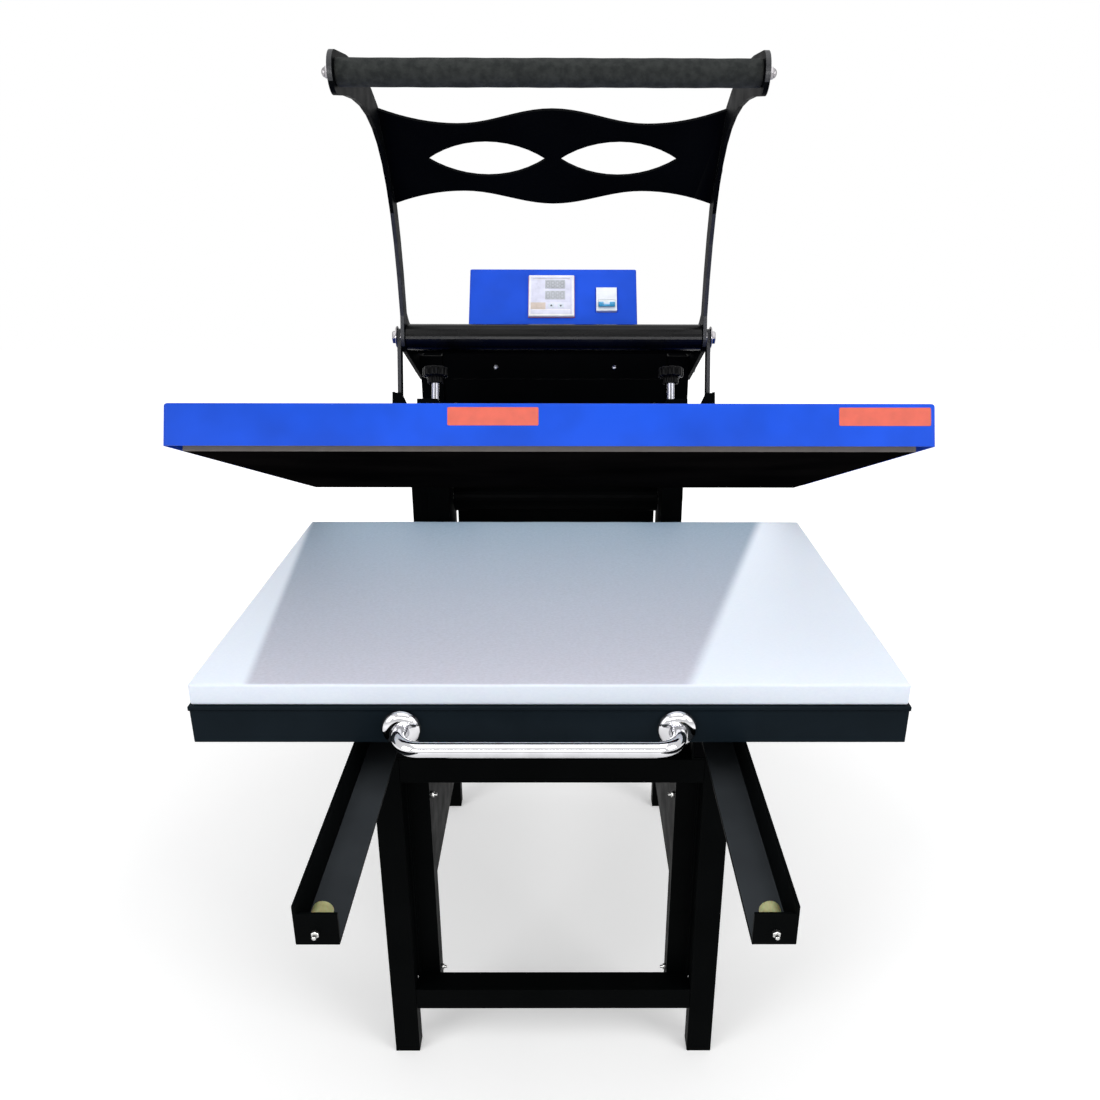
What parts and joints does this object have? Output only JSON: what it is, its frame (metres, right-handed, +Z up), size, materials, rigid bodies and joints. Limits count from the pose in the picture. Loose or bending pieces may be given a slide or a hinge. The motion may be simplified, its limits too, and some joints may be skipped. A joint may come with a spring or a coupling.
{
  "type": "clamshell heat press",
  "caption": "Large-format clamshell heat press on a tube stand: pull-out padded bed on wheels, hinged heated upper platen and a toggle lever with a cross plate.",
  "frame": {"origin": "on the floor, under the middle of the overall box of the press as pictured, open and with the drawer a little way out", "axes": "+X to the operator's right, +Y to the back, +Z up"},
  "size_m": [0.936, 1.091, 1.5007],
  "materials": {
    "black_steel": "satin black powder coat",
    "blue_steel": "semi-gloss blue powder coat",
    "zinc": "bright zinc plating",
    "chrome": "polished chrome",
    "heater": "dark non-stick coating on cast aluminium",
    "silicone": "smooth white silicone sponge",
    "urethane": "translucent amber polyurethane",
    "nylon": "natural nylon",
    "foam": "black foam",
    "knob_plastic": "moulded black plastic",
    "meter_plastic": "light grey moulded plastic",
    "button_plastic": "pale blue-grey keys",
    "breaker_plastic": "white moulded plastic",
    "toggle_plastic": "cyan moulded plastic"
  },
  "bodies": {
    "stand": {"front_leg_L": "black_steel", "front_leg_R": "black_steel", "rear_leg_L": "black_steel", "rear_leg_R": "black_steel", "front_top_rail": "black_steel", "front_lower_rail": "black_steel", "rear_top_rail": "black_steel", "side_panel_L": "black_steel", "side_panel_R": "black_steel", "base_beam_L": "black_steel", "base_beam_R": "black_steel", "drawer_rail_L": "black_steel", "drawer_rail_R": "black_steel", "bumper_L": "urethane", "bumper_R": "urethane", "mast_post_L": "black_steel", "mast_post_R": "black_steel", "mast_panel": "black_steel", "shaft_cover": "black_steel", "lever_shaft": "zinc", "hinge_shaft": "zinc", "box_bracket": "black_steel", "control_box": "blue_steel", "meter": "meter_plastic", "breaker": "breaker_plastic"},
    "drawer": {"bed_frame": "black_steel", "silicone_pad": "silicone", "grab_handle": "chrome", "wheel_bracket_front_L": "black_steel", "wheel_bracket_front_R": "black_steel", "wheel_bracket_rear_L": "black_steel", "wheel_bracket_rear_R": "black_steel"},
    "wheel_front_L_body": {"wheel_front_L": "nylon"},
    "wheel_front_R_body": {"wheel_front_R": "nylon"},
    "wheel_rear_L_body": {"wheel_rear_L": "nylon"},
    "wheel_rear_R_body": {"wheel_rear_R": "nylon"},
    "platen": {"platen_cover": "blue_steel", "heater_plate": "heater", "lift_frame": "black_steel", "link_bracket_L": "black_steel", "link_bracket_R": "black_steel"},
    "pressure_knob_L": {"pressure_screw_L": "chrome", "knob_L": "knob_plastic"},
    "pressure_knob_R": {"pressure_screw_R": "chrome", "knob_R": "knob_plastic"},
    "lever": {"lever_arm_L": "black_steel", "lever_arm_R": "black_steel", "torque_tube": "black_steel", "grip_bar": "black_steel", "grip_sleeve": "foam", "cross_plate": "black_steel", "hood": "black_steel", "pivot_bolt_L": "zinc", "pivot_bolt_R": "zinc"},
    "toggle_link_L": {"link_L": "black_steel"},
    "toggle_link_R": {"link_R": "black_steel"},
    "power_toggle": {"breaker_toggle": "toggle_plastic"},
    "key_set": {"button_set": "button_plastic"},
    "key_up": {"button_up": "button_plastic"},
    "key_down": {"button_down": "button_plastic"}
  },
  "joints": [
    {"name": "drawer_slide", "type": "slide", "parent": "stand", "child": "drawer", "axis": [0, -1, 0], "range_m": [-0.035, 0.4]},
    {"name": "wheel_front_L_spin", "type": "hinge", "parent": "drawer", "child": "wheel_front_L_body", "pos_m": [-0.23, -0.0775, 0.6595], "axis": [1, 0, 0], "continuous": true},
    {"name": "wheel_front_R_spin", "type": "hinge", "parent": "drawer", "child": "wheel_front_R_body", "pos_m": [0.23, -0.0775, 0.6595], "axis": [1, 0, 0], "continuous": true},
    {"name": "wheel_rear_L_spin", "type": "hinge", "parent": "drawer", "child": "wheel_rear_L_body", "pos_m": [-0.23, 0.1825, 0.6595], "axis": [1, 0, 0], "continuous": true},
    {"name": "wheel_rear_R_spin", "type": "hinge", "parent": "drawer", "child": "wheel_rear_R_body", "pos_m": [0.23, 0.1825, 0.6595], "axis": [1, 0, 0], "continuous": true},
    {"name": "lever_hinge", "type": "hinge", "parent": "stand", "child": "lever", "pos_m": [0, 0.4545, 1.04], "axis": [1, 0, 0], "range_deg": [0, 50.89]},
    {"name": "platen_hinge", "type": "hinge", "parent": "stand", "child": "platen", "pos_m": [0, 0.5025, 0.769], "axis": [1, 0, 0], "range_deg": [0, 21.8]},
    {"name": "link_hinge_L", "type": "hinge", "parent": "lever", "child": "toggle_link_L", "pos_m": [-0.2576, 0.2875, 1.118], "axis": [1, 0, 0], "range_deg": [-89.06, 0]},
    {"name": "link_hinge_R", "type": "hinge", "parent": "lever", "child": "toggle_link_R", "pos_m": [0.2576, 0.2875, 1.118], "axis": [1, 0, 0], "range_deg": [-89.06, 0]},
    {"name": "pressure_turn_L", "type": "hinge", "parent": "platen", "child": "pressure_knob_L", "pos_m": [-0.183, 0.12256, 0.99043], "axis": [0, 0.3714, 0.9285], "continuous": true},
    {"name": "pressure_turn_R", "type": "hinge", "parent": "platen", "child": "pressure_knob_R", "pos_m": [0.183, 0.12256, 0.99043], "axis": [0, 0.3714, 0.9285], "continuous": true},
    {"name": "power_toggle_hinge", "type": "hinge", "parent": "stand", "child": "power_toggle", "pos_m": [0.0911, 0.38025, 1.16191], "axis": [1, 0, 0], "range_deg": [-76, 0]},
    {"name": "key_set_press", "type": "slide", "parent": "stand", "child": "key_set", "axis": [0, 0.8138, -0.5812], "range_m": [0, 0.0008], "stiffness_N_per_m": 500},
    {"name": "key_up_press", "type": "slide", "parent": "stand", "child": "key_up", "axis": [0, 0.8138, -0.5812], "range_m": [0, 0.0008], "stiffness_N_per_m": 500},
    {"name": "key_down_press", "type": "slide", "parent": "stand", "child": "key_down", "axis": [0, 0.8138, -0.5812], "range_m": [0, 0.0008], "stiffness_N_per_m": 500}
  ],
  "couplings": [
    {"joint": "wheel_front_L_spin", "follows": "drawer_slide", "rad_per_m": 50},
    {"joint": "wheel_front_R_spin", "follows": "drawer_slide", "rad_per_m": 50},
    {"joint": "wheel_rear_L_spin", "follows": "drawer_slide", "rad_per_m": 50},
    {"joint": "wheel_rear_R_spin", "follows": "drawer_slide", "rad_per_m": 50},
    {"joint": "platen_hinge", "follows": "lever_hinge", "ratio": 0.42831},
    {"joint": "link_hinge_L", "follows": "lever_hinge", "ratio": -1.7497},
    {"joint": "link_hinge_R", "follows": "lever_hinge", "ratio": -1.7497}
  ]
}
